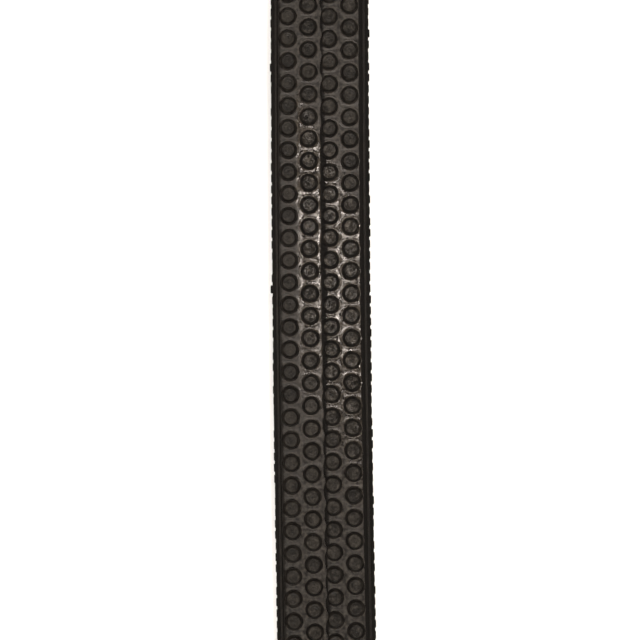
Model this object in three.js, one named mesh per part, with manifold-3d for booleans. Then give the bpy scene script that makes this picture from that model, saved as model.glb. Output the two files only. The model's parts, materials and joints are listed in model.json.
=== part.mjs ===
// An endless toothed rubber track with a round-stud tread, standing on its lower run.
// Millimetres, +X is forward travel, +Y is the left edge, +Z is up.
// The origin is under the middle of the track, on the ground.
//
// A place on the track is given by s, the distance along the cord line from the middle of
// the lower run, by u, the distance outwards from the cord line, and by y across the track.

import * as THREE from "three";
import { mergeGeometries, mergeVertices } from "three/addons/utils/BufferGeometryUtils.js";
import Module from "manifold-3d";

const wasm = await Module();
wasm.setup();

// ---- driving dimensions ----

const TOOTH_PITCH = 20;
const TOOTH_COUNT = 160;
const RUN = 1240; // straight length between the two wheel arcs
const TRACK_LENGTH = TOOTH_PITCH * TOOTH_COUNT;
const RADIUS = (TRACK_LENGTH - 2 * RUN) / (2 * Math.PI); // of the cord line round a wheel
const HALF_RUN = RUN / 2;
const ARC = Math.PI * RADIUS;

const ROW_PITCH = 40; // from one stud to the next in a column
const COLUMN_PITCH = 36.9;
const STUD_BASE_RADIUS = 16;
const STUD_TOP_RADIUS = 13;
const STUD_SIDES = 8; // a plain stand-in for the round stud

// heights from the cord line, outwards positive
const TOOTH_TIP = -13;
const ROOT_LAND = -5;
const DRIVE_TOP = -3;
const INNER_PLY = [-2.7, -1.7];
const CORDS = [-1.4, 1.4];
const OUTER_PLY = [1.7, 2.7];
const TREAD_BASE = 3;
const TREAD_GROUND = 7;
const RAIL_TOP = 8.2;
const STUD_TOP = 12;
const STUD_SUNK = 5.5; // where a stud's own solid starts, inside the tread

// places across the track, from its centre line
const BAR_END = 89; // the drive bars stand out past the web
const WEB_EDGE = 87;
const LIP_INSIDE = 81;
const CORE_EDGE = 80.7;
const RAIL = [77, 80.9];
const TREAD_LEFT_EDGE = 75.4;
const TREAD_RIGHT_EDGE = -69.7;
const SEAM = [-4.1, 0.1]; // the slit between the two tread strips, which trims column 3
const PATTERN_CENTRE = 2; // the four columns sit a little left of the centre line

// the drive bars, along the track
const BAR_TIP_HALF = 4.1;
const BAR_TOP_HALF = 6.7;
const BAR_SUNK = -3.3; // the bar's own solid ends inside the web

// the six bending lines, and how far the squash joint moves either way
const LINK = 6 * TOOTH_PITCH; // from the middle of a wheel arc to the bend on either side
const SQUASH = THREE.MathUtils.degToRad(16);
const LIFT = THREE.MathUtils.degToRad(4);
const CUT_GAP = 0.15; // each side of a bending line, at the cord line

const FRONT_MIDDLE = HALF_RUN + ARC / 2;
const REAR_MIDDLE = FRONT_MIDDLE + TRACK_LENGTH / 2;
const CORD_HEIGHT = STUD_TOP;
const AXLE_HEIGHT = CORD_HEIGHT + RADIUS;

// half the angle by which each side of a bending line closes
const AT_RUN_END = { outside: SQUASH / 2, inside: LIFT / 2 };
const AT_ARC_MIDDLE = { outside: LIFT, inside: SQUASH };

// ---- the loop ----

// The point on the cord line at s, with the directions along the track and outwards.
function placeAt(s) {
  const t = ((s % TRACK_LENGTH) + TRACK_LENGTH) % TRACK_LENGTH;
  let turn = 0;
  let x = t;
  if (t > HALF_RUN && t <= HALF_RUN + ARC) {
    turn = (t - HALF_RUN) / RADIUS;
    x = HALF_RUN + RADIUS * Math.sin(turn);
  } else if (t > HALF_RUN + ARC && t <= HALF_RUN + ARC + RUN) {
    turn = Math.PI;
    x = HALF_RUN - (t - HALF_RUN - ARC);
  } else if (t > HALF_RUN + ARC + RUN && t <= TRACK_LENGTH - HALF_RUN) {
    turn = Math.PI + (t - HALF_RUN - ARC - RUN) / RADIUS;
    x = -HALF_RUN + RADIUS * Math.sin(turn);
  } else if (t > TRACK_LENGTH - HALF_RUN) {
    x = t - TRACK_LENGTH;
  }
  const z = AXLE_HEIGHT - RADIUS * Math.cos(turn);
  return {
    point: new THREE.Vector3(x, 0, z),
    along: new THREE.Vector3(Math.cos(turn), 0, Math.sin(turn)),
    outwards: new THREE.Vector3(Math.sin(turn), 0, -Math.cos(turn)),
  };
}

// Places along the track where an outline needs a point: every tooth valley on the wheel
// arcs, and only the two ends on a straight run.
function stations(from, to) {
  const list = [from];
  const first = Math.ceil((from + 1) / TOOTH_PITCH) * TOOTH_PITCH;
  for (let s = first; s < to - 1; s += TOOTH_PITCH) {
    if (isNearArc(s)) list.push(s);
  }
  list.push(to);
  return list;
}

function isNearArc(s) {
  const distance = Math.abs(placeAt(s).point.x) - HALF_RUN;
  return distance > -TOOTH_PITCH;
}

function pointAt(s, u) {
  const place = placeAt(s);
  const p = place.point.addScaledVector(place.outwards, u);
  return new THREE.Vector2(p.x, p.z);
}

// ---- solids ----

function solidFrom(geometry) {
  const bare = geometry.clone();
  bare.deleteAttribute("normal");
  bare.deleteAttribute("uv");
  const merged = mergeVertices(bare, 1e-4);
  return new wasm.Manifold(
    new wasm.Mesh({
      numProp: 3,
      vertProperties: merged.attributes.position.array,
      triVerts: new Uint32Array(merged.index.array),
    }),
  );
}

// A solid whose outline lies in the XZ plane and which reaches from right to left across the track.
function prism(outline, right, left) {
  const geometry = new THREE.ExtrudeGeometry(new THREE.Shape(outline), {
    depth: left - right,
    bevelEnabled: false,
  });
  geometry.rotateX(Math.PI / 2);
  geometry.translate(0, left, 0);
  return geometry;
}

// A stretch of the loop between two heights, longer than its section at both ends.
function stretch(section, low, high, right, left) {
  const places = stations(section.from - 1, section.to + 1);
  const outside = places.map((s) => pointAt(s, high));
  const inside = places.map((s) => pointAt(s, low)).reverse();
  return solidFrom(prism([...outside, ...inside], right, left));
}

// A corner of the wedge that ends a section: reach outwards from the cord line and shift along
// the track, both square to the bending line.
function wedgeCorner(s, reach, shift) {
  const { point, along, outwards } = placeAt(s);
  const p = point.addScaledVector(outwards, reach).addScaledVector(along, shift);
  return new THREE.Vector2(p.x, p.z);
}

// Everything that belongs to a section: its two ends are wedges that meet at the cord line,
// so that the section can turn about the cord line at each bending line.
function envelope(section) {
  const reach = 20;
  const places = stations(section.from, section.to).slice(1, -1);
  const { from, to, start, end } = section;
  const outside = [
    wedgeCorner(from + CUT_GAP, reach, reach * Math.tan(start.outside)),
    ...places.map((s) => pointAt(s, reach)),
    wedgeCorner(to - CUT_GAP, reach, -reach * Math.tan(end.outside)),
  ];
  const inside = [
    wedgeCorner(to - CUT_GAP, -reach, -reach * Math.tan(end.inside)),
    ...places.map((s) => pointAt(s, -reach)).reverse(),
    wedgeCorner(from + CUT_GAP, -reach, reach * Math.tan(start.inside)),
  ];
  const waist = { start: pointAt(from + CUT_GAP, 0), end: pointAt(to - CUT_GAP, 0) };
  const outline = [waist.start, ...outside, waist.end, ...inside];
  return solidFrom(prism(outline, -BAR_END - 5, BAR_END + 5));
}

// Copies of one shape, drawn along X, outwards along Y and across along Z, set at places on the loop.
function copies(shape, spots) {
  const placed = spots.map(({ s, y }) => {
    const { point, along, outwards } = placeAt(s);
    const across = new THREE.Vector3(0, 1, 0);
    const matrix = new THREE.Matrix4().makeBasis(along, outwards, across);
    matrix.setPosition(point.x, y, point.z);
    return shape.clone().applyMatrix4(matrix);
  });
  return solidFrom(mergeGeometries(placed));
}

// Multiples of the pitch, shifted by the offset, that fall on a section.
function steps(section, pitch, offset, margin) {
  const list = [];
  const first = Math.ceil((section.from - margin - offset) / pitch);
  for (let k = first; k * pitch + offset <= section.to + margin; k++) {
    list.push(k * pitch + offset);
  }
  return list;
}

function barShape() {
  const outline = [
    new THREE.Vector2(-BAR_TIP_HALF, TOOTH_TIP),
    new THREE.Vector2(BAR_TIP_HALF, TOOTH_TIP),
    new THREE.Vector2(BAR_TOP_HALF, BAR_SUNK),
    new THREE.Vector2(-BAR_TOP_HALF, BAR_SUNK),
  ];
  const geometry = new THREE.ExtrudeGeometry(new THREE.Shape(outline), {
    depth: 2 * BAR_END,
    bevelEnabled: false,
  });
  geometry.translate(0, 0, -BAR_END);
  return geometry;
}

function studShape() {
  const slope = (STUD_BASE_RADIUS - STUD_TOP_RADIUS) / (STUD_TOP - TREAD_GROUND);
  const height = STUD_TOP - STUD_SUNK;
  const bottomRadius = STUD_TOP_RADIUS + slope * height;
  const geometry = new THREE.CylinderGeometry(STUD_TOP_RADIUS, bottomRadius, height, STUD_SIDES);
  geometry.translate(0, (STUD_TOP + STUD_SUNK) / 2, 0);
  return geometry;
}

// ---- the pieces of one section ----

// The toothed layer that the sprocket drives: a web with a lip up each side, and bars under it.
function driveLayer(section) {
  const spots = steps(section, TOOTH_PITCH, TOOTH_PITCH / 2, 0).map((s) => ({ s, y: 0 }));
  const block = stretch(section, ROOT_LAND, OUTER_PLY[1], -WEB_EDGE, WEB_EDGE);
  const hollow = stretch(section, DRIVE_TOP, OUTER_PLY[1] + 1, -LIP_INSIDE, LIP_INSIDE);
  return block.subtract(hollow).add(copies(barShape(), spots));
}

// A flat layer inside the web: a fabric ply, or the spirally wound steel cord.
function coreLayer(section, [low, high]) {
  return stretch(section, low, high, -CORE_EDGE, CORE_EDGE);
}

function rail(section, side) {
  const [inner, outer] = RAIL;
  const right = side > 0 ? inner : -outer;
  const left = side > 0 ? outer : -inner;
  return stretch(section, TREAD_BASE, RAIL_TOP, right, left);
}

// Columns count from the left edge. Every other one is half a row further along.
function studSpots(section, columns) {
  return columns.flatMap((column) => {
    const y = PATTERN_CENTRE + (2.5 - column) * COLUMN_PITCH;
    const offset = column % 2 === 1 ? 0 : ROW_PITCH / 2;
    return steps(section, ROW_PITCH, offset, STUD_BASE_RADIUS).map((s) => ({ s, y }));
  });
}

function treadStrip(section, columns, right, left) {
  const studs = copies(studShape(), studSpots(section, columns));
  const strip = stretch(section, TREAD_BASE, TREAD_GROUND, right, left);
  const room = stretch(section, TREAD_BASE + 1, STUD_TOP + 1, right, left);
  return strip.add(studs.intersect(room));
}

// ---- the assembly ----

const SECTIONS = [
  {
    name: "bottom_run",
    from: REAR_MIDDLE + LINK,
    to: TRACK_LENGTH + FRONT_MIDDLE - LINK,
    start: AT_RUN_END,
    end: AT_RUN_END,
  },
  {
    name: "front_lower",
    from: FRONT_MIDDLE - LINK,
    to: FRONT_MIDDLE,
    start: AT_RUN_END,
    end: AT_ARC_MIDDLE,
  },
  {
    name: "front_upper",
    from: FRONT_MIDDLE,
    to: FRONT_MIDDLE + LINK,
    start: AT_ARC_MIDDLE,
    end: AT_RUN_END,
  },
  {
    name: "top_run",
    from: FRONT_MIDDLE + LINK,
    to: REAR_MIDDLE - LINK,
    start: AT_RUN_END,
    end: AT_RUN_END,
  },
  {
    name: "rear_upper",
    from: REAR_MIDDLE - LINK,
    to: REAR_MIDDLE,
    start: AT_RUN_END,
    end: AT_ARC_MIDDLE,
  },
  {
    name: "rear_lower",
    from: REAR_MIDDLE,
    to: REAR_MIDDLE + LINK,
    start: AT_ARC_MIDDLE,
    end: AT_RUN_END,
  },
];

const FINISH = {
  drive: { color: 0x1b1917, roughness: 0.6, metalness: 0 },
  fabric: { color: 0x2b2926, roughness: 0.9, metalness: 0 },
  steel: { color: 0x8c8a86, roughness: 0.4, metalness: 1 },
  tread: { color: 0x3f3b38, roughness: 0.45, metalness: 0 },
  rail: { color: 0x4a4643, roughness: 0.5, metalness: 0 },
};

const PIECES = {
  drive_layer: { finish: "drive", make: driveLayer },
  inner_ply: { finish: "fabric", make: (section) => coreLayer(section, INNER_PLY) },
  steel_cords: { finish: "steel", make: (section) => coreLayer(section, CORDS) },
  outer_ply: { finish: "fabric", make: (section) => coreLayer(section, OUTER_PLY) },
  tread_left: {
    finish: "tread",
    make: (section) => treadStrip(section, [1, 2], SEAM[1], TREAD_LEFT_EDGE),
  },
  tread_right: {
    finish: "tread",
    make: (section) => treadStrip(section, [3, 4], TREAD_RIGHT_EDGE, SEAM[0]),
  },
  rail_left: { finish: "rail", make: (section) => rail(section, 1) },
  rail_right: { finish: "rail", make: (section) => rail(section, -1) },
};

function meshFrom(name, solid, finish) {
  const { vertProperties, triVerts } = solid.getMesh();
  const geometry = new THREE.BufferGeometry();
  geometry.setAttribute("position", new THREE.BufferAttribute(vertProperties, 3));
  geometry.setIndex(new THREE.BufferAttribute(triVerts, 1));
  geometry.computeVertexNormals();
  const mesh = new THREE.Mesh(geometry, new THREE.MeshStandardMaterial(FINISH[finish]));
  mesh.name = name;
  return mesh;
}

const track = new THREE.Group();

for (const section of SECTIONS) {
  const room = envelope(section);
  for (const [piece, { finish, make }] of Object.entries(PIECES)) {
    const solid = make(section).intersect(room);
    track.add(meshFrom(`${section.name}_${piece}`, solid, finish));
  }
}

export default track;
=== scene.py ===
"""An endless rubber track with a round-stud tread.

A place on the track is given by s, the distance along the cord line from the middle of the
lower run, by y, across, and by u, outwards from the cord line. Every piece is first made flat,
in these three coordinates, and then laid round the loop. Everything is in metres.
"""

import json
import math

import bmesh
import bpy
import numpy as np
from mathutils import Matrix, Vector


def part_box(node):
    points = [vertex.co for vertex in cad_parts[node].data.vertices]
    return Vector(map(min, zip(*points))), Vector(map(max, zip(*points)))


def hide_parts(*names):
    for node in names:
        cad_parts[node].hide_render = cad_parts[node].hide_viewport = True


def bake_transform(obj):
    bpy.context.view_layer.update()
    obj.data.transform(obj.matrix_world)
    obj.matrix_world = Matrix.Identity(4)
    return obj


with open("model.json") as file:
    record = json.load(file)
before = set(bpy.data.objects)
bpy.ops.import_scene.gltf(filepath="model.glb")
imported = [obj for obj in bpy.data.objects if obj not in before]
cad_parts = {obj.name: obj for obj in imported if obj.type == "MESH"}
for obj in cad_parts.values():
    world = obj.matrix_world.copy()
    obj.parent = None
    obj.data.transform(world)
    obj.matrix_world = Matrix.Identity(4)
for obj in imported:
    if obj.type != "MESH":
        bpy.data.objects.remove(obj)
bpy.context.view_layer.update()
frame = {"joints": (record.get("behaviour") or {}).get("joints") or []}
random = np.random.default_rng(7)

MM = 0.001

# ---- the loop, from the frame's joints ----

HINGE_AT = {j["name"]: Vector(j["pos_m"]) for j in frame["joints"]}
FOLD = HINGE_AT["front_fold"]
BEND = HINGE_AT["front_bend"]
RADIUS = 2 * (FOLD.x - BEND.x)  # the bends lie 30 degrees up the wheel arcs
HALF_RUN = FOLD.x - RADIUS
AXLE = FOLD.z
ARC = math.pi * RADIUS
LENGTH = 4 * HALF_RUN + 2 * ARC  # of the cord line round the loop
UPPER_CORD = AXLE + RADIUS  # height of the upper run's cord line

BAR_COUNT = 160
BAR_PITCH = LENGTH / BAR_COUNT
ROW_PITCH = 2 * BAR_PITCH
FRONT = HALF_RUN + ARC / 2
REAR = FRONT + LENGTH / 2
LINK = 6 * BAR_PITCH  # from one bending line of a wheel arc to the next
BOW = 0.0081  # per metre: half the curvature of the upper run, which bends slightly sideways
BOW_CROSSING = 0.85 * HALF_RUN  # where the bent run crosses the middle line

# ---- levels and widths, from the frame's boxes ----


def side(node, axis, end):
    """One side of an upper-run node's box: end 0 is the low side, end 1 the high side."""
    return getattr(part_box("top_run_" + node)[end], axis)


STUD_TOP = side("tread_left", "z", 1) - UPPER_CORD
RAIL_TOP = side("rail_left", "z", 1) - UPPER_CORD
BAR_TIP = -(AXLE - RADIUS) - 1 * MM  # the bars are 1 mm farther from the cord line than the studs
BAR_END = side("drive_layer", "y", 1)
CORE_EDGE = side("steel_cords", "y", 1)
LEFT_TREAD = (side("tread_left", "y", 0), side("tread_left", "y", 1))
RIGHT_TREAD = (side("tread_right", "y", 0), side("tread_right", "y", 1))
LEFT_RAIL = (side("rail_left", "y", 0), side("rail_left", "y", 1))
RIGHT_RAIL = (side("rail_right", "y", 0), side("rail_right", "y", 1))

TREAD_BASE = 3 * MM  # underside of the tread strips and rails
GROUND = 7 * MM  # the tread's surface between its studs
WEB_SIDE = 87.4 * MM  # half the width of the drive layer's web
WEB_EDGE = 84 * MM  # outside this the web's sides are uneven
WEB_EDGE_BLEND = 2 * MM
ROOT_LAND = -5 * MM  # the drive layer's inner face, between the bars
COLUMN_PITCH = 36.9 * MM
PATTERN_CENTRE = 2 * MM  # the stud pattern lies a little left of the middle
ROW_COUNT = BAR_COUNT // 2
NEAR = 1e-6  # places closer than this are the same
COLUMNS = (1, 2, 3, 4)

# One visible span of the track crosses one bending line.
SPANS = {
    "lower_rear": {
        "from": REAR + LINK / 2,
        "to": LENGTH,
        "bodies": ("rear_lower", "bottom_run"),
        "bend": REAR + LINK,
        "stands_for": ["bottom_run"],
    },
    "lower_front": {
        "from": 0,
        "to": FRONT - LINK / 2,
        "bodies": ("bottom_run", "front_lower"),
        "bend": FRONT - LINK,
        "stands_for": ["front_lower"],
    },
    "front": {
        "from": FRONT - LINK / 2,
        "to": FRONT + LINK,
        "bodies": ("front_lower", "front_upper"),
        "bend": FRONT,
        "stands_for": ["front_upper"],
    },
    "upper": {
        "from": FRONT + LINK,
        "to": REAR - LINK / 2,
        "bodies": ("top_run", "rear_upper"),
        "bend": REAR - LINK,
        "stands_for": ["top_run"],
    },
    "rear": {
        "from": REAR - LINK / 2,
        "to": REAR + LINK / 2,
        "bodies": ("rear_upper", "rear_lower"),
        "bend": REAR,
        "stands_for": ["rear_upper", "rear_lower"],
    },
}


def between(values, start, end):
    """0 before the start, 1 past the end, and a soft change from one to the other."""
    t = np.clip((values - start) / (end - start), 0, 1)
    return t * t * (3 - 2 * t)


def on_loop(flat):
    """Lays flat (s, y, u) points round the loop."""
    s, y, u = flat[:, 0], flat[:, 1], flat[:, 2]
    front = np.clip((s - HALF_RUN) / RADIUS, 0, math.pi)
    rear = np.clip((s - HALF_RUN - ARC - 2 * HALF_RUN) / RADIUS, 0, math.pi)
    turn = front + rear
    x = (
        np.minimum(s, HALF_RUN)
        - np.clip(s - HALF_RUN - ARC, 0, 2 * HALF_RUN)
        + np.maximum(s - (LENGTH - HALF_RUN), 0)
    )
    reach = RADIUS + u
    upper = between(turn, math.pi / 2, math.pi) - between(turn, math.pi, 1.5 * math.pi)
    sway = upper * BOW * (BOW_CROSSING**2 - np.clip(x, -HALF_RUN, HALF_RUN) ** 2)
    return np.stack([x + reach * np.sin(turn), y + sway, AXLE - reach * np.cos(turn)], axis=1)


def smooth_noise(values, step, amount, rng):
    """A smooth random wave along the track, with one random value about every step."""
    count = round(LENGTH / step)
    heights = rng.uniform(-amount, amount, count)
    place = values / LENGTH * count
    low = np.floor(place).astype(int)
    t = place - low
    t = t * t * (3 - 2 * t)
    return heights[low % count] * (1 - t) + heights[(low + 1) % count] * t


# ---- from flat arrays to a finished piece ----


def make_piece(name, span, mesh, materials):
    """Lays a flat mesh round the loop and hides the parts of model.glb that it stands for."""
    flat = np.zeros(len(mesh.vertices) * 3)
    mesh.vertices.foreach_get("co", flat)
    flat = flat.reshape(-1, 3)
    strip = mesh.attributes.new("strip", "FLOAT_VECTOR", "POINT")
    strip.data.foreach_set("vector", flat.astype(np.float32).ravel())
    mesh.vertices.foreach_set("co", on_loop(flat).ravel())
    mesh.update()
    for material in materials:
        mesh.materials.append(material)
    mesh.polygons.foreach_set("use_smooth", [True] * len(mesh.polygons))
    mesh.set_sharp_from_angle(angle=math.radians(50))
    piece = bpy.data.objects.new(f"{name}_{span}", mesh)
    bpy.context.scene.collection.objects.link(piece)
    facts = SPANS[span]
    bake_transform(piece)
    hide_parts(*[f"{section}_{name}" for section in facts["stands_for"]])
    return piece


def mesh_from(name, points, faces, material_index=None):
    """A mesh of these points and faces, with one material number for each face."""
    mesh = bpy.data.meshes.new(name)
    mesh.from_pydata(points.tolist(), [], faces)
    if material_index is not None:
        mesh.polygons.foreach_set("material_index", material_index)
    mesh.update()
    return mesh


def sweep(profile, stations):
    """A closed (y, u) outline swept along s. Returns flat points and faces, capped at both ends."""
    count = len(profile)
    outline = np.array(profile)
    rows = [np.column_stack([np.full(count, s), outline]) for s in stations]
    points = np.concatenate(rows)
    faces = []
    for row in range(len(stations) - 1):
        base = row * count
        for k in range(count):
            after = (k + 1) % count
            faces.append((base + k, base + after, base + count + after, base + count + k))
    faces.append(tuple(reversed(range(count))))
    faces.append(tuple(range((len(stations) - 1) * count, len(stations) * count)))
    return points, faces


def joined(parts):
    """Several (points, faces) as one."""
    points, faces, start = [], [], 0
    for part_points, part_faces in parts:
        points.append(part_points)
        faces.extend(tuple(i + start for i in face) for face in part_faces)
        start += len(part_points)
    return np.concatenate(points), faces


def stations_of(span, fine, coarse):
    """Places along a span: every fine step on a wheel arc, every coarse step on a straight run."""
    facts = SPANS[span]
    places = [facts["from"]]
    while places[-1] < facts["to"] - NEAR:
        s = places[-1]
        along = s % (LENGTH / 2)
        on_arc = HALF_RUN - coarse < along < HALF_RUN + ARC
        places.append(min(s + (fine if on_arc else coarse), facts["to"]))
    return np.array(places)


# ---- the tread ----


def column_centre(column):
    """How far left of the middle a stud column lies. Column 1 is the leftmost."""
    return PATTERN_CENTRE + (2.5 - column) * COLUMN_PITCH


def column_start(column):
    """Every other column is set half a row along."""
    return 0 if column % 2 else ROW_PITCH / 2


CELL_STEPS = 12  # edges along one side of a stud's cell
RING_POINTS = 4 * CELL_STEPS

# a stud's section from its middle to the far lip of the groove round it: radius and height
# above the ground, in millimetres
STUD_SECTION = [
    (0.8, 5.0),
    (1.4, 4.85),
    (2.1, 4.5),
    (3.2, 4.4),
    (4.3, 4.42),
    (5.2, 4.62),
    (6.0, 4.76),
    (6.8, 4.66),
    (7.8, 4.6),
    (8.8, 4.76),
    (9.7, 4.94),
    (10.4, 4.98),
    (10.9, 4.82),
    (11.3, 4.4),
    (11.7, 3.6),
    (12.5, 1.7),
    (13.1, 0.1),
    (13.6, -0.8),
    (14.2, -1.25),
    (15.0, -1.35),
    (15.7, -1.05),
    (16.2, -0.55),
    (16.6, -0.1),
    (17.3, 0.0),
]
CROWN_RISE = 0.04 * MM  # of the middle point above the innermost ring
STUD_RIM = 11.0  # millimetres: inside is the stud's top, and outside its side and the groove
GROOVE_LIP = 16.25  # millimetres: from here on the ground
GROUND_PAINT, TOP_PAINT, GROOVE_PAINT = 0, 1, 2  # a strip's materials
CELL_SHARES = [0.3, 0.65, 1.0]  # rings of ground from the groove's lip to the cell's edge


def cell_outline(low, high):
    """The edge of a stud's cell, anticlockwise from its forward left corner."""
    half = ROW_PITCH / 2
    t = np.arange(CELL_STEPS) / CELL_STEPS
    forward = half - 2 * half * t
    leftward = high - (high - low) * t
    return np.concatenate(
        [
            np.column_stack([forward, np.full(CELL_STEPS, high)]),
            np.column_stack([np.full(CELL_STEPS, -half), leftward]),
            np.column_stack([-forward, np.full(CELL_STEPS, low)]),
            np.column_stack([np.full(CELL_STEPS, half), low + high - leftward]),
        ]
    )


def cell_template(low, high):
    """Points of one stud and its ground, each with how much it belongs to the stud."""
    angle = math.radians(45) + 2 * math.pi * np.arange(RING_POINTS) / RING_POINTS
    unit = np.column_stack([np.cos(angle), np.sin(angle)])
    points = [np.array([[0, 0, STUD_SECTION[0][1] * MM + CROWN_RISE]])]
    share = [np.ones(1)]
    for radius, height in STUD_SECTION:
        ring = unit * radius * MM
        points.append(np.column_stack([ring, np.full(RING_POINTS, height * MM)]))
        share.append(np.full(RING_POINTS, 1.0))
    lip = unit * STUD_SECTION[-1][0] * MM
    outline = cell_outline(low, high)
    for part in CELL_SHARES:
        ring = lip * (1 - part) + outline * part
        points.append(np.column_stack([ring, np.zeros(RING_POINTS)]))
        share.append(np.full(RING_POINTS, (1 - part) ** 2))
    return np.concatenate(points), np.concatenate(share)


def cell_faces():
    """The faces of one cell, ring by ring from the stud's middle, and the material of each."""
    faces = [(0, 1 + k, 1 + (k + 1) % RING_POINTS) for k in range(RING_POINTS)]
    material = [TOP_PAINT] * RING_POINTS
    ring_count = len(STUD_SECTION) + len(CELL_SHARES)
    for ring in range(ring_count - 1):
        inner, outer = 1 + ring * RING_POINTS, 1 + (ring + 1) * RING_POINTS
        outside = ring + 1
        radius = STUD_SECTION[outside][0] if outside < len(STUD_SECTION) else math.inf
        if radius <= STUD_RIM:
            kind = TOP_PAINT
        else:
            kind = GROOVE_PAINT if radius <= GROOVE_LIP else GROUND_PAINT
        for k in range(RING_POINTS):
            after = (k + 1) % RING_POINTS
            faces.append((inner + k, outer + k, outer + after, inner + after))
            material.append(kind)
    return faces, material


# how much studs differ from one another
SHIFT_SPREAD = 0.16 * MM
HEIGHT_SPREAD = 0.1 * MM
TILT_SPREAD = 0.018
TILT_DROP = 6 * MM  # a leaning stud sits lower by this much for each unit of its lean


def worn(points, share, rng):
    """One stud's own height, lean and place: no two are quite alike."""
    moved = points.copy()
    moved[:, 0] += share * rng.normal(0, SHIFT_SPREAD)
    moved[:, 1] += share * rng.normal(0, SHIFT_SPREAD)
    tilt = rng.normal(0, TILT_SPREAD, 2)
    top = share * (points[:, 2] > 2 * MM)
    moved[:, 2] += top * (rng.normal(0, HEIGHT_SPREAD) - np.abs(tilt).sum() * TILT_DROP)
    moved[:, 2] += top * (points[:, 0] * tilt[0] + points[:, 1] * tilt[1])
    return moved


def tread_cells(span, columns, edges, rng):
    """The top skin of a tread strip, as flat points, faces and the material of each face."""
    faces_of_cell, material_of_cell = cell_faces()
    facts = SPANS[span]
    points, faces, material, start = [], [], [], 0
    for column in columns:
        centre = column_centre(column)
        low = -COLUMN_PITCH / 2 if column in (1, 3) else edges[0] - centre
        high = COLUMN_PITCH / 2 if column in (2, 3, 4) else edges[1] - centre
        offset = column_start(column)
        template, share = cell_template(low, high)
        first = math.ceil((facts["from"] - offset) / ROW_PITCH - NEAR)
        s = first * ROW_PITCH + offset
        last = facts["to"] + (NEAR if ends_at_cut(facts["to"]) else -NEAR)
        while s < last:
            cell = worn(template, share, rng) + np.array([s, centre, GROUND])
            points.append(cell)
            faces.extend(tuple(i + start for i in face) for face in faces_of_cell)
            material.extend(material_of_cell)
            start += len(cell)
            s += ROW_PITCH
    return merged(np.concatenate(points), faces, material)


def ends_at_cut(s):
    """Whether a place is where the loop is opened, at a bending line, or the lower run's middle."""
    return any(abs(s - place) < NEAR for place in (FRONT + LINK, LENGTH))


def merged(points, faces, material):
    """Joins the points that neighbouring cells share."""
    keys = np.round(points / (2e-3 * MM)).astype(np.int64)
    _, first, inverse = np.unique(keys, axis=0, return_index=True, return_inverse=True)
    inverse = inverse.ravel()
    faces = [tuple(int(inverse[i]) for i in face) for face in faces]
    return points[first], faces, material


def cut_away(bm, point, normal):
    """Takes off what lies past a plane, on the side its normal points to."""
    geometry = bm.verts[:] + bm.edges[:] + bm.faces[:]
    bmesh.ops.bisect_plane(
        bm, geom=geometry, dist=1e-7, plane_co=point, plane_no=normal, clear_outer=True
    )


EDGE_ROUND = 0.55 * MM  # of a strip's long edges


def tread_strip(name, span, columns, edges, seam_side, materials, rng):
    """A studded strip: its skin, its side walls, its rounded long edges and its base."""
    points, faces, material = tread_cells(span, columns, edges, rng)
    flat = mesh_from(f"{name}_{span}", points, faces, material)
    bm = bmesh.new()
    bm.from_mesh(flat)
    facts = SPANS[span]
    if ends_at_cut(facts["to"]):
        cut_away(bm, (facts["to"], 0, 0), (1, 0, 0))
    if ends_at_cut(facts["from"]) or facts["from"] == 0:
        cut_away(bm, (facts["from"], 0, 0), (-1, 0, 0))
    if seam_side > 0:
        cut_away(bm, (0, edges[1], 0), (0, 1, 0))
    top_edges = [e for e in bm.edges if e.is_boundary]
    long_edges = [e for e in top_edges if runs_along(e, edges)]
    grown = bmesh.ops.extrude_edge_only(bm, edges=top_edges)["geom"]
    foot = [g for g in grown if isinstance(g, bmesh.types.BMVert)]
    for vertex in foot:
        vertex.co.z = TREAD_BASE
    foot_edges = [e for e in bm.edges if e.is_boundary]
    bmesh.ops.triangle_fill(bm, use_beauty=True, use_dissolve=False, edges=foot_edges)
    bmesh.ops.bevel(
        bm, geom=long_edges, offset=EDGE_ROUND, segments=2, profile=0.5,
        affect="EDGES", clamp_overlap=True, material=-1,
    )
    bmesh.ops.recalc_face_normals(bm, faces=bm.faces[:])
    bm.to_mesh(flat)
    bm.free()
    wander(flat, edges, seam_side)
    dull_margin_faces(flat, edges, seam_side)
    return make_piece(name, span, flat, materials)


def runs_along(edge, edges):
    """Whether a mesh edge lies on one of a strip's two long edges."""
    ends = [v.co.y for v in edge.verts]
    return any(all(abs(y - line) < NEAR for y in ends) for line in edges)


# the ground's height by distance from the nearest stud's middle, both in millimetres: it swells
# round each groove and dips in between
GROUND_RELIEF = ([16.5, 17.3, 18.3, 19.8, 22.5, 27], [0.0, 0.34, 0.3, 0.0, -0.26, -0.34])


def nearest_stud(flat):
    """For each flat point: distance from the nearest stud's middle, direction, column and row."""
    best = np.full(len(flat), np.inf)
    direction = np.zeros(len(flat))
    column_of = np.zeros(len(flat), int)
    row_of = np.zeros(len(flat), int)
    for column in COLUMNS:
        centre = column_centre(column)
        offset = column_start(column)
        row = np.round((flat[:, 0] - offset) / ROW_PITCH)
        forward = flat[:, 0] - offset - row * ROW_PITCH
        leftward = flat[:, 1] - centre
        distance = np.hypot(forward, leftward)
        closer = distance < best
        best = np.where(closer, distance, best)
        direction = np.where(closer, np.arctan2(forward, leftward), direction)
        column_of = np.where(closer, column, column_of)
        row_of = np.where(closer, row.astype(int) % ROW_COUNT, row_of)
    return best, direction, column_of, row_of


def polished_share(s):
    """1 along the rubbed stretch of the upper run, 0 round the rest, with soft changes between."""
    return between(s, 0.377 * LENGTH, 0.41 * LENGTH) - between(s, 0.4875 * LENGTH, 0.58 * LENGTH)


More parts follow.
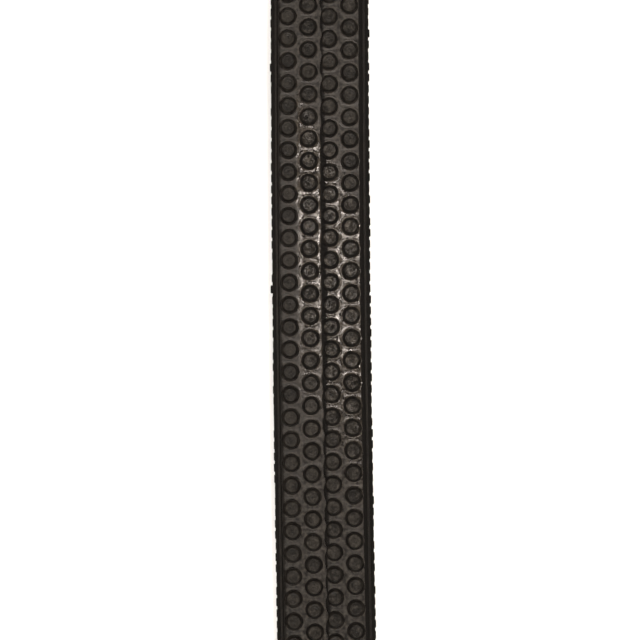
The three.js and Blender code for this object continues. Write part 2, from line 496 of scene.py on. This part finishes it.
# how far each strip's pattern is off its even pitch, in millimetres, at these shares of the loop
CREEP_AT = [0.29, 0.33, 0.38, 0.42, 0.45, 0.52, 0.62, 0.72, 0.8]
CREEP_LEFT = [0, -0.5, 1.2, 0.2, -1.1, -1.1, 2.8, 2.8, 0]
CREEP_RIGHT = [0, 1.2, 3.2, 1.2, -0.9, -0.9, 0.9, 0.9, 0]


def creep(s, seam_side):
    """How far a strip's studs are shifted along the loop at s."""
    amounts = CREEP_LEFT if seam_side < 0 else CREEP_RIGHT
    return np.interp(s / LENGTH, CREEP_AT, amounts) * MM


PINCH_DEPTH = 3.4 * MM
SEAM_REACH = 7 * MM  # how far from the seam its unevenness is felt


def wander(mesh, edges, seam_side):
    """Gives the strip its uneven ground and its wandering seam edge, and paints its marks, with
    painted shade in the grooves and margins and a painted highlight round the grooves.
    """
    flat = np.zeros(len(mesh.vertices) * 3)
    mesh.vertices.foreach_get("co", flat)
    flat = flat.reshape(-1, 3)
    distance, direction, column, row = nearest_stud(flat)
    faded = 1 if seam_side > 0 else 0.75
    margin = faded * margin_of(flat, edges, seam_side)
    paint_studs(mesh, flat, margin, distance, direction, column, row)

    rng = np.random.default_rng(40 + (seam_side > 0))
    seam = edges[1] if seam_side > 0 else edges[0]
    reach = np.clip(1 - np.abs(flat[:, 1] - seam) / SEAM_REACH, 0, 1)
    wave = smooth_noise(flat[:, 0], 31 * MM, 0.7 * MM, rng)
    wave += smooth_noise(flat[:, 0], 9 * MM, 0.6 * MM, rng)
    if seam_side < 0:
        # outside the rubbed stretch this edge bulges once a row and pinches the seam shut
        pinch = 0.5 - 0.5 * np.cos(2 * math.pi * (flat[:, 0] / ROW_PITCH - 0.3))
        wave = wave - PINCH_DEPTH * (1 - polished_share(flat[:, 0])) * pinch**2
    flat[:, 1] += wave * reach * reach

    ground = between(distance, 16.4 * MM, 16.8 * MM) * (flat[:, 2] > GROUND - 0.3 * MM)
    inland = between(np.minimum(flat[:, 1] - edges[0], edges[1] - flat[:, 1]), 0.2 * MM, 1.5 * MM)
    swell = np.interp(distance / MM, *GROUND_RELIEF) * MM
    swell += smooth_noise(flat[:, 0], 23 * MM, 0.12 * MM, np.random.default_rng(5))
    swell += smooth_noise(flat[:, 0] + 3 * flat[:, 1], 17 * MM, 0.12 * MM, np.random.default_rng(6))
    flat[:, 2] += ground * inland * swell
    flat[:, 0] += creep(flat[:, 0], seam_side)
    mesh.vertices.foreach_set("co", flat.ravel())


def margin_of(flat, edges, seam_side):
    """How far each point lies in a strip's dark margin: painted shadow by the seam, and a darker
    band by the left rail.
    """
    rng = np.random.default_rng(31)
    if seam_side > 0:
        width = (2.4 + 4.2 * polished_share(flat[:, 0])) * MM
        start = edges[1] - width - smooth_noise(flat[:, 0], 20 * MM, 2.8 * MM, rng)
    else:
        start = edges[1] - 4.6 * MM + smooth_noise(flat[:, 0], 17 * MM, 0.9 * MM, rng)
    return between(flat[:, 1], start - 1 * MM, start + 1 * MM)


def dull_margin_faces(mesh, edges, seam_side):
    """The ground faces in the dark margin take the grooves' dull material."""
    count = len(mesh.polygons)
    centres, kinds = np.zeros(count * 3), np.zeros(count, dtype=np.int32)
    mesh.polygons.foreach_get("center", centres)
    mesh.polygons.foreach_get("material_index", kinds)
    inside = margin_of(centres.reshape(-1, 3), edges, seam_side) > 0.5
    kinds = np.where((kinds == GROUND_PAINT) & inside, GROOVE_PAINT, kinds)
    mesh.polygons.foreach_set("material_index", kinds)


# how strongly the painted highlight on the raised ground round a groove shows, by distance from the
# stud's middle in millimetres
RIM_HIGHLIGHT_FADE = ([15.5, 16.6, 18.2, 20, 23, 27], [0, 1, 0.8, 0.3, 0.05, 0])


def paint_studs(mesh, flat, margin, distance, direction, column, row):
    """Marks each point as ground or stud, with the stud's own tone, painted shade in its groove and
    margin, a painted highlight round the groove, and dullness.
    """
    rng = np.random.default_rng(11)

    def of_each_stud(low, high):
        return rng.uniform(low, high, (ROW_COUNT, len(COLUMNS)))[row, column - 1]

    tone = of_each_stud(0, 1)
    plain = 1 - polished_share(flat[:, 0])
    # painted shade in the groove round each stud, of a strength that differs from stud to stud
    painted_shade = of_each_stud(0.85, 1) * (1 - 0.06 * plain) * np.where(column == 1, 0.85, 1)
    lean, oval, lobed = (of_each_stud(-math.pi, math.pi) for _ in range(3))
    uneven = 0.35 * MM * np.cos(2 * direction - oval) + 0.3 * MM * np.cos(3 * direction - lobed)
    # the painted shade is lighter on the outward side of columns 1 and 4, where the side lamps fall
    outward = np.where(column == 1, np.cos(direction), np.where(column == 4, -np.cos(direction), 0))
    painted_shade *= (1 - 0.4 * np.clip(outward, 0, 1) ** 2) * (0.92 + 0.08 * np.cos(direction - lean))
    # the painted shade ring round a stud is thinner where the tread is not rubbed
    thin = plain * np.where(flat[:, 0] < 0.45 * LENGTH, 1.5 * MM, 1.1 * MM)
    inner = between(distance + uneven, 10.5 * MM + 0.9 * thin, 11.7 * MM + 0.9 * thin)
    outer = 1 - between(distance + uneven, 15.8 * MM - 0.5 * thin, 16.8 * MM - 0.6 * thin)
    # painted highlight on the raised ground round each groove
    rim_highlight = np.interp((distance + uneven) / MM, *RIM_HIGHLIGHT_FADE)
    rim_highlight *= 1 - 0.3 * between(flat[:, 0], 0.52 * LENGTH, 0.6 * LENGTH)
    # painted shadow in the margin by the seam, and darker ground by the left rail
    margin_shade = margin * between(distance, 14 * MM, 15 * MM)
    ragged = smooth_noise(flat[:, 0], 14 * MM, 3 * MM, rng)
    left = between(flat[:, 1] + ragged, 39 * MM, 45 * MM)
    # the rubbed stretch ends on a slant
    unrubbed = 1 - polished_share(flat[:, 0] + 2 * flat[:, 1])
    dull = np.maximum(left, 0.8 * unrubbed)
    for name, values in (
        ("stud", 1 - between(distance, 11.4 * MM, 12.4 * MM)),
        ("tone", tone),
        ("painted_shade", np.maximum(inner * outer * painted_shade, margin_shade)),
        ("dull", dull),
        ("rim_highlight", rim_highlight),
    ):
        layer = mesh.attributes.new(name, "FLOAT", "POINT")
        layer.data.foreach_set("value", values.astype(np.float32))


# ---- rails, drive layer and core ----


def rail(name, span, edges, materials, rng):
    """A raised rib with rounded shoulders and a slightly hollow crown."""
    inner, outer = edges
    width = outer - inner
    shoulder = 0.9 * MM
    profile = [
        (inner, TREAD_BASE),
        (outer, TREAD_BASE),
        (outer, RAIL_TOP - shoulder),
        (outer - 0.3 * shoulder, RAIL_TOP - 0.35 * shoulder),
        (outer - shoulder, RAIL_TOP),
        (outer - width / 2, RAIL_TOP - 0.12 * MM),
        (inner + shoulder, RAIL_TOP),
        (inner + 0.3 * shoulder, RAIL_TOP - 0.35 * shoulder),
        (inner, RAIL_TOP - shoulder),
    ]
    stations = stations_of(span, BAR_PITCH / 5, BAR_PITCH / 4)
    points, faces = sweep(profile, stations)
    raised = np.clip((points[:, 2] - TREAD_BASE) / (RAIL_TOP - TREAD_BASE), 0, 1)
    points[:, 1] += raised * smooth_noise(points[:, 0], 37 * MM, 0.22 * MM, rng)
    points[:, 2] += raised * smooth_noise(points[:, 0], 29 * MM, 0.16 * MM, rng)
    mesh = mesh_from(f"{name}_{span}", points, faces)
    return make_piece(name, span, mesh, materials)


def channel_profile():
    """The drive layer's web with a lip up each side, seen along the track."""
    lip_top = 2.7 * MM
    floor = -3 * MM
    inside = 81 * MM
    round_off = 0.6 * MM
    left = [
        (inside, lip_top),
        (WEB_SIDE - round_off, lip_top),
        (WEB_SIDE, lip_top - round_off),
        (WEB_SIDE, ROOT_LAND + 2 * round_off),
        (WEB_SIDE - 0.5 * round_off, ROOT_LAND + 0.5 * round_off),
        (WEB_SIDE - 2 * round_off, ROOT_LAND),
    ]
    under = [(y * MM, ROOT_LAND) for y in (60, 30, 0, -30, -60)]
    right = [(-y, u) for y, u in reversed(left)]
    return left + under + right + [(-inside, floor), (inside, floor)]


# half of a drive bar's outline seen across the track, from its foot to its tip: half width and
# height above the tip, in millimetres
BAR_HALF_OUTLINE = [
    (6.0, 9.4),
    (7.3, 8.05),
    (6.75, 7.85),
    (6.4, 7.35),
    (6.1, 6.6),
    (5.2, 3.4),
    (4.5, 1.2),
    (4.25, 0.55),
    (3.8, 0.15),
    (3.1, 0.0),
]

# places along half a bar, from its end inwards: share of its half length and size of its outline
BAR_STATIONS = [(1.0, 0.84), (0.9965, 0.93), (0.991, 0.98), (0.983, 1.0), (0.5, 1.0), (0.15, 1.0)]

# bars with an end that stands proud of its neighbours' ends: how far on the left and the right
PROUD_BARS = {53: (0, 1.8 * MM), 56: (1.4 * MM, 0), 76: (3 * MM, 0)}


def drive_bar(s, rng, proud):
    """One drive bar, across the whole track, with rounded edges and ends."""
    half = np.array(BAR_HALF_OUTLINE) * MM
    outline = np.concatenate([half, half[::-1] * [-1, 1]])
    middle = np.array([0, 5 * MM])
    sides = BAR_STATIONS + [(-share, size) for share, size in reversed(BAR_STATIONS)]
    left = BAR_END + rng.uniform(-1.3, 0) * MM + proud[0]
    right = BAR_END + rng.uniform(-1, 0.6) * MM + proud[1]
    shift = rng.normal(0, 0.18 * MM)
    rows = []
    for share, size in sides:
        ring = middle + (outline - middle) * size
        y = np.full(len(ring), share * (left if share > 0 else right))
        rows.append(np.column_stack([s + shift + ring[:, 0], y, BAR_TIP + ring[:, 1]]))
    count = len(outline)
    faces = []
    for row in range(len(rows) - 1):
        for k in range(count):
            after = (k + 1) % count
            base = row * count
            faces.append((base + k, base + count + k, base + count + after, base + after))
    faces.append(tuple(range(count)))
    faces.append(tuple(reversed(range((len(rows) - 1) * count, len(rows) * count))))
    return np.concatenate(rows), faces


CHIP_DEPTH = 0.6 * MM


def chipped_share(s):
    """1 along the short stretch of the upper run whose right edge is worn back."""
    return between(s, 0.445 * LENGTH, 0.455 * LENGTH) - between(s, 0.48 * LENGTH, 0.5 * LENGTH)


def drive_layer(name, span, materials, rng):
    """The web with its uneven sides, and the drive bars that cross it."""
    facts = SPANS[span]
    stations = stations_of(span, BAR_PITCH / 4, BAR_PITCH / 2)
    web, web_faces = sweep(channel_profile(), stations)
    far_right = np.clip((-web[:, 1] - WEB_EDGE) / WEB_EDGE_BLEND, 0, 1)
    web[:, 1] += far_right * smooth_noise(web[:, 0], 70 * MM, 0.4 * MM, np.random.default_rng(25))
    web[:, 1] += far_right * CHIP_DEPTH * chipped_share(web[:, 0])
    far_left = np.clip((web[:, 1] - WEB_EDGE) / WEB_EDGE_BLEND, 0, 1)
    web[:, 1] += far_left * smooth_noise(web[:, 0], 50 * MM, 0.4 * MM, np.random.default_rng(26))
    parts = [(web, web_faces)]
    for k in range(BAR_COUNT):
        s = (k + 0.5) * BAR_PITCH
        if facts["from"] < s < facts["to"]:
            parts.append(drive_bar(s, rng, PROUD_BARS.get(k, (0, 0))))
    mesh = mesh_from(f"{name}_{span}", *joined(parts))
    return make_piece(name, span, mesh, materials)


def ply(name, span, materials, low, high):
    """A band of fabric with tapered sides, between two levels."""
    middle = (low + high) / 2
    flank = CORE_EDGE - (high - middle)
    profile = [(-CORE_EDGE, middle), (-flank, low), (flank, low)]
    profile += [(CORE_EDGE, middle), (flank, high), (-flank, high)]
    stations = stations_of(span, BAR_PITCH / 4, BAR_PITCH)
    mesh = mesh_from(f"{name}_{span}", *sweep(profile, stations))
    return make_piece(name, span, mesh, materials)


CORD_RADIUS = 1.3 * MM
CORD_SPACING = 3.9 * MM
CORD_COUNT = 41
CORD_SIDES = 8  # of a turn's outline
PLY_OUTER = 2.7 * MM  # how far from the cord line a ply's outer and inner faces are
PLY_INNER = 1.7 * MM


def steel_cords(name, span, materials):
    """The steel cord wound round the loop, turn beside turn."""
    stations = stations_of(span, BAR_PITCH / 4, BAR_PITCH)
    angle = 2 * math.pi * np.arange(CORD_SIDES) / CORD_SIDES
    circle = np.column_stack([np.cos(angle), np.sin(angle)]) * CORD_RADIUS
    parts = []
    for k in range(CORD_COUNT):
        y = (k - (CORD_COUNT - 1) / 2) * CORD_SPACING
        parts.append(sweep(circle + [y, 0], stations))
    mesh = mesh_from(f"{name}_{span}", *joined(parts))
    return make_piece(name, span, mesh, materials)


# ---- materials ----


class Nodes:
    """A material's node tree, with short ways to add and join nodes."""

    def __init__(self, name):
        self.material = bpy.data.materials.new(name)
        self.material.use_nodes = True
        self.tree = self.material.node_tree
        self.shader = self.tree.nodes["Principled BSDF"]
        attribute = self.tree.nodes.new("ShaderNodeAttribute")
        attribute.attribute_name = "strip"
        self.strip = attribute.outputs["Vector"]

    def link(self, source, target):
        self.tree.links.new(source, target)

    def noise(self, per_metre, detail=3, roughness=0.55, stretch=(1, 1, 1)):
        mapping = self.tree.nodes.new("ShaderNodeMapping")
        mapping.inputs["Scale"].default_value = stretch
        self.link(self.strip, mapping.inputs["Vector"])
        node = self.tree.nodes.new("ShaderNodeTexNoise")
        node.inputs["Scale"].default_value = per_metre
        node.inputs["Detail"].default_value = detail
        node.inputs["Roughness"].default_value = roughness
        self.link(mapping.outputs["Vector"], node.inputs["Vector"])
        return node.outputs["Fac"]

    def attribute(self, name):
        node = self.tree.nodes.new("ShaderNodeAttribute")
        node.attribute_name = name
        return node.outputs["Fac"]

    def ramp(self, source, low, high, start=0.35, end=0.65):
        node = self.tree.nodes.new("ShaderNodeMapRange")
        node.inputs["From Min"].default_value = start
        node.inputs["From Max"].default_value = end
        node.inputs["To Min"].default_value = low
        node.inputs["To Max"].default_value = high
        self.link(source, node.inputs["Value"])
        return node.outputs["Result"]

    def mix(self, factor, first, second):
        node = self.tree.nodes.new("ShaderNodeMix")
        node.data_type = "RGBA"
        self.link(factor, node.inputs["Factor"])
        for colour, socket in ((first, node.inputs["A"]), (second, node.inputs["B"])):
            if isinstance(colour, tuple):
                socket.default_value = (*colour, 1)
            else:
                self.link(colour, socket)
        return node.outputs["Result"]

    def bump(self, sources):
        """Bumps added one on another: each is a height source, its depth and its strength."""
        normal = None
        for height, depth, strength in sources:
            node = self.tree.nodes.new("ShaderNodeBump")
            node.inputs["Distance"].default_value = depth
            node.inputs["Strength"].default_value = strength
            self.link(height, node.inputs["Height"])
            if normal is not None:
                self.link(normal, node.inputs["Normal"])
            normal = node.outputs["Normal"]
        self.link(normal, self.shader.inputs["Normal"])


def rubber(name, dark, light, dust, roughness, gloss):
    """Moulded rubber: two tones in blotches, a thin film of dust, and a fine grain."""
    nodes = Nodes(name)
    blotch = nodes.noise(45, detail=4)
    film = nodes.noise(160, detail=5, roughness=0.65)
    fine = nodes.noise(900, detail=4, roughness=0.6)
    tone = nodes.mix(nodes.ramp(blotch, 0, 1), dark, light)
    colour = nodes.mix(nodes.ramp(film, 0, 0.55, 0.5, 0.78), tone, dust)
    nodes.link(colour, nodes.shader.inputs["Base Color"])
    rough = nodes.ramp(film, roughness - 0.07, roughness + 0.12)
    nodes.link(rough, nodes.shader.inputs["Roughness"])
    nodes.shader.inputs["Specular IOR Level"].default_value = gloss
    nodes.bump([(blotch, 0.5 * MM, 0.25), (film, 0.2 * MM, 0.3), (fine, 0.06 * MM, 0.5)])
    return nodes.material


def drive(name):
    """The rubber of the drive side: black, scuffed grey on the bar tips, dusty between the bars."""
    nodes = Nodes(name)
    film = nodes.noise(160, detail=5, roughness=0.65)
    streak = nodes.noise(60, detail=4, stretch=(1, 0.25, 1))
    fine = nodes.noise(900, detail=4, roughness=0.6)
    split = nodes.tree.nodes.new("ShaderNodeSeparateXYZ")
    nodes.link(nodes.strip, split.inputs["Vector"])
    tip = nodes.ramp(split.outputs["Z"], 0.75, 0, BAR_TIP + 0.2 * MM, BAR_TIP + 1.5 * MM)
    valley = nodes.ramp(split.outputs["Z"], 0, 0.5, ROOT_LAND - 2.2 * MM, ROOT_LAND - 0.1 * MM)
    plain = nodes.mix(nodes.ramp(streak, 0, 1), (0.002, 0.0016, 0.0012), (0.0038, 0.003, 0.0023))
    plain = nodes.mix(nodes.ramp(film, 0, 0.55, 0.6, 0.88), plain, (0.016, 0.0128, 0.0101))
    dusty = nodes.mix(nodes.ramp(streak, 0, 1), plain, (0.045, 0.038, 0.03))
    inner = nodes.mix(valley, plain, dusty)
    above = nodes.ramp(split.outputs["Z"], 0, 1, ROOT_LAND + 0.2 * MM, ROOT_LAND + 0.8 * MM)
    inner = nodes.mix(above, inner, plain)
    scuffing = nodes.ramp(streak, 0, 1, 0.3, 0.6)
    scuffed = nodes.mix(scuffing, (0.011, 0.0094, 0.0078), (0.04, 0.036, 0.031))
    nodes.link(nodes.mix(tip, inner, scuffed), nodes.shader.inputs["Base Color"])
    nodes.link(nodes.ramp(film, 0.5, 0.72), nodes.shader.inputs["Roughness"])
    nodes.shader.inputs["Specular IOR Level"].default_value = 0.06
    nodes.bump([(streak, 0.5 * MM, 0.25), (film, 0.2 * MM, 0.3), (fine, 0.06 * MM, 0.5)])
    return nodes.material


def tread(name, roughness, gloss, swell, grain=0.1, matt=(0.36, 0.6)):
    """Tread rubber: blotched and dusty ground, stud tops of differing tone, painted shade in the
    grooves and a painted highlight round them.
    """
    nodes = Nodes(name)
    blotch = nodes.noise(40, detail=5, roughness=0.6)
    film = nodes.noise(170, detail=5, roughness=0.65)
    scuff = nodes.noise(130, detail=4, roughness=0.6)
    wave = nodes.noise(62, detail=2)
    fine = nodes.noise(900, detail=4, roughness=0.6)
    dull = nodes.attribute("dull")
    rim_highlight = nodes.attribute("rim_highlight")
    blotched = nodes.ramp(blotch, 0, 1, 0.34, 0.66)
    ground = nodes.mix(blotched, (0.0035, 0.0028, 0.0021), (0.0105, 0.0086, 0.0066))
    # painted highlight on the raised ground round each groove, brighter where the tread is not dull
    painted_rim_highlight = nodes.mix(dull, (0.032, 0.0265, 0.021), (0.0175, 0.0153, 0.0127))
    rubbed = nodes.mix(dull, (0.05, 0.042, 0.034), (0.03, 0.0262, 0.0217))
    ground = nodes.mix(nodes.ramp(rim_highlight, 0, 0.85, 0, 1), ground, painted_rim_highlight)
    ground = nodes.mix(nodes.ramp(scuff, 0, 0.6, 0.5, 0.68), ground, rubbed)
    ground = nodes.mix(nodes.ramp(scuff, 0.85, 0, 0.38, 0.49), ground, (0.0025, 0.0019, 0.0014))
    ground = nodes.mix(nodes.ramp(film, 0, 0.5, 0.52, 0.78), ground, (0.042, 0.033, 0.025))
    top = nodes.mix(nodes.attribute("tone"), (0.005, 0.0042, 0.0033), (0.0115, 0.0097, 0.0076))
    worn_top = nodes.mix(dull, (0.06, 0.052, 0.043), (0.025, 0.0217, 0.0176))
    top = nodes.mix(nodes.ramp(scuff, 0, 0.6, 0.52, 0.68), top, worn_top)
    top = nodes.mix(nodes.ramp(scuff, 0.7, 0, 0.36, 0.46), top, (0.002, 0.0017, 0.0013))
    colour = nodes.mix(nodes.attribute("stud"), ground, top)
    # painted shade: near black in the grooves round the studs and in the dark margins
    colour = nodes.mix(nodes.attribute("painted_shade"), colour, (0.0016, 0.0012, 0.0008))
    nodes.link(colour, nodes.shader.inputs["Base Color"])
    polish = nodes.ramp(film, roughness - 0.05, roughness + 0.08)
    dip = nodes.tree.nodes.new("ShaderNodeMath")
    nodes.link(nodes.ramp(rim_highlight, 0.12, 0, 0, 0.7), dip.inputs[0])
    nodes.link(polish, dip.inputs[1])
    polish = dip.outputs["Value"]
    rough = nodes.tree.nodes.new("ShaderNodeMix")
    nodes.link(dull, rough.inputs["Factor"])
    nodes.link(polish, rough.inputs["A"])
    nodes.link(nodes.ramp(scuff, *matt, 0.38, 0.64), rough.inputs["B"])
    nodes.link(rough.outputs["Result"], nodes.shader.inputs["Roughness"])
    nodes.shader.inputs["Specular IOR Level"].default_value = gloss
    nodes.bump([(wave, swell * MM, 0.9), (film, grain * MM, 0.35), (fine, 0.03 * MM, 0.35)])
    return nodes.material


def fabric(name):
    """A rubbered woven ply."""
    nodes = Nodes(name)
    waves = []
    for direction in ("X", "Y"):
        wave = nodes.tree.nodes.new("ShaderNodeTexWave")
        wave.bands_direction = direction
        wave.inputs["Scale"].default_value = 260
        wave.inputs["Distortion"].default_value = 0.6
        nodes.link(nodes.strip, wave.inputs["Vector"])
        waves.append(wave.outputs["Fac"])
    weave = nodes.tree.nodes.new("ShaderNodeMath")
    weave.operation = "MULTIPLY"
    nodes.link(waves[0], weave.inputs[0])
    nodes.link(waves[1], weave.inputs[1])
    colour = nodes.mix(weave.outputs["Value"], (0.002, 0.0016, 0.0012), (0.009, 0.0073, 0.0056))
    nodes.link(colour, nodes.shader.inputs["Base Color"])
    nodes.shader.inputs["Roughness"].default_value = 0.85
    nodes.shader.inputs["Specular IOR Level"].default_value = 0.15
    nodes.bump([(weave.outputs["Value"], 0.2 * MM, 0.6)])
    return nodes.material


def wire(name):
    """Brass-coated stranded steel: the strands show as slanting bands."""
    nodes = Nodes(name)
    wave = nodes.tree.nodes.new("ShaderNodeTexWave")
    wave.bands_direction = "DIAGONAL"
    wave.inputs["Scale"].default_value = 420
    nodes.link(nodes.strip, wave.inputs["Vector"])
    tarnish = nodes.noise(120, detail=3)
    bright = nodes.mix(nodes.ramp(tarnish, 0, 1), (0.42, 0.36, 0.24), (0.55, 0.52, 0.46))
    colour = nodes.mix(nodes.ramp(wave.outputs["Fac"], 0.5, 0, 0, 1), bright, (0.1, 0.09, 0.07))
    nodes.link(colour, nodes.shader.inputs["Base Color"])
    nodes.shader.inputs["Metallic"].default_value = 1.0
    nodes.shader.inputs["Roughness"].default_value = 0.38
    nodes.bump([(wave.outputs["Fac"], 0.15 * MM, 0.6)])
    return nodes.material


def make_materials():
    """Every material of the track, by its short name."""
    return {
        "ground": tread("tread_ground", roughness=0.12, gloss=0.2, swell=1.5, grain=0.13),
        "stud": tread("stud_top", roughness=0.1, gloss=0.1, swell=4.2, grain=0.32),
        "groove": tread("stud_groove", roughness=0.7, gloss=0.08, swell=0.5),
        "rail": rubber(
            "rail_rubber",
            dark=(0.003, 0.0024, 0.0018),
            light=(0.0056, 0.0045, 0.0034),
            dust=(0.018, 0.0146, 0.0113),
            roughness=0.5,
            gloss=0.1,
        ),
        "drive": drive("drive_rubber"),
        "fabric": fabric("ply_fabric"),
        "wire": wire("steel_cord"),
    }


# ---- camera, floor and light ----

SENSOR = 36.0  # millimetres
SEEN_LENGTH = 1.143  # of the upper run, from the top of the view to its foot
CAMERA_DISTANCE = 3.0
LEAN = math.radians(-0.645)  # of the view, against the track
TILT = math.radians(1.45)  # of the camera from straight down, towards the front
VIEW_CENTRE = Vector((0.0135, 0.0051, UPPER_CORD + STUD_TOP))


def add_camera():
    """A camera above the upper run, looking down on its tread."""
    camera = bpy.data.objects.new("camera", bpy.data.cameras.new("camera"))
    bpy.context.scene.collection.objects.link(camera)
    camera.data.sensor_width = SENSOR
    camera.data.lens = SENSOR * CAMERA_DISTANCE / SEEN_LENGTH
    camera.data.clip_start = 0.05
    right = Vector((math.sin(LEAN), -math.cos(LEAN), 0))
    ahead = Vector((math.cos(LEAN), math.sin(LEAN), 0))
    back = Vector((0, 0, math.cos(TILT))) - ahead * math.sin(TILT)
    place = Matrix((right, back.cross(right), back)).transposed().to_4x4()
    place.translation = VIEW_CENTRE + back * CAMERA_DISTANCE
    camera.matrix_world = place
    bpy.context.scene.camera = camera


FLOOR_RADIUS = 9.0
FLOOR_DROP = 0.6 * MM  # of the floor below the lowest studs


def add_floor():
    """A broad, plain, pale floor."""
    mesh = bpy.data.meshes.new("floor")
    bm = bmesh.new()
    bmesh.ops.create_circle(bm, cap_ends=True, cap_tris=False, segments=96, radius=FLOOR_RADIUS)
    bm.to_mesh(mesh)
    bm.free()
    floor = bpy.data.objects.new("floor", mesh)
    floor.location.z = -FLOOR_DROP
    bpy.context.scene.collection.objects.link(floor)
    material = bpy.data.materials.new("floor")
    material.use_nodes = True
    shader = material.node_tree.nodes["Principled BSDF"]
    noise = material.node_tree.nodes.new("ShaderNodeTexNoise")
    noise.inputs["Scale"].default_value = 3
    ramp = material.node_tree.nodes.new("ShaderNodeMapRange")
    ramp.inputs["To Min"].default_value = 0.86
    ramp.inputs["To Max"].default_value = 0.9
    material.node_tree.links.new(noise.outputs["Fac"], ramp.inputs["Value"])
    material.node_tree.links.new(ramp.outputs["Result"], shader.inputs["Base Color"])
    shader.inputs["Roughness"].default_value = 0.9
    shader.inputs["Specular IOR Level"].default_value = 0.1
    mesh.materials.append(material)


def add_area(name, place, target, size, power, colour):
    """A rectangular lamp that faces its target."""
    light = bpy.data.lights.new(name, "AREA")
    light.shape = "RECTANGLE"
    light.size, light.size_y = size
    light.energy = power
    light.color = colour
    lamp = bpy.data.objects.new(name, light)
    lamp.location = place
    lamp.rotation_mode = "QUATERNION"
    lamp.rotation_quaternion = (Vector(target) - Vector(place)).to_track_quat("-Z", "Y")
    bpy.context.scene.collection.objects.link(lamp)
    return lamp


GLOSS_LAMP = Vector((0.128, -0.04, UPPER_CORD + GROUND + 2.0))  # shines straight down on the studs


def add_lights():
    """Four soft boxes around the track and two small lamps above its studs."""
    world = bpy.data.worlds.new("studio")
    world.use_nodes = True
    world.node_tree.nodes["Background"].inputs["Color"].default_value = (1, 0.95, 0.89, 1)
    world.node_tree.nodes["Background"].inputs["Strength"].default_value = 0.25
    bpy.context.scene.world = world
    middle = (0, 0, 0)
    warm = (1, 0.955, 0.9)
    add_area("left_box", (0, 3.2, 2.6), middle, (5, 1.8), 155, warm)
    add_area("right_box", (0, -3.2, 2.6), middle, (5, 1.8), 150, warm)
    add_area("front_box", (3.6, 0, 2.4), middle, (1.8, 3.5), 115, warm)
    add_area("rear_box", (-3.6, 0, 2.4), middle, (1.8, 3.5), 185, warm)
    for name, place, size, power in (
        ("gloss_lamp", GLOSS_LAMP, (0.3, 0.15), 13),
        ("spark_lamp", GLOSS_LAMP + Vector((0.22, 0, 0.05)), (0.03, 0.03), 13),
    ):
        lamp = add_area(name, place, place - Vector((0, 0, 1)), size, power, (1, 0.89, 0.81))
        lamp.rotation_quaternion = (1, 0, 0, 0)


# ---- the whole track ----


def build_track():
    """All eight pieces of the track, span by span."""
    paint = make_materials()
    tread_paint = [paint["ground"], paint["stud"], paint["groove"]]
    for span in SPANS:
        tread_strip("tread_left", span, (1, 2), LEFT_TREAD, -1, tread_paint, random)
        tread_strip("tread_right", span, (3, 4), RIGHT_TREAD, 1, tread_paint, random)
        rail("rail_left", span, LEFT_RAIL, [paint["rail"]], np.random.default_rng(21))
        rail("rail_right", span, RIGHT_RAIL, [paint["rail"]], np.random.default_rng(22))
        drive_layer("drive_layer", span, [paint["drive"]], random)
        ply("inner_ply", span, [paint["fabric"]], -PLY_OUTER, -PLY_INNER)
        ply("outer_ply", span, [paint["fabric"]], PLY_INNER, PLY_OUTER)
        steel_cords("steel_cords", span, [paint["wire"]])


build_track()
add_floor()
add_lights()
add_camera()
bpy.context.scene.view_settings.view_transform = "Standard"
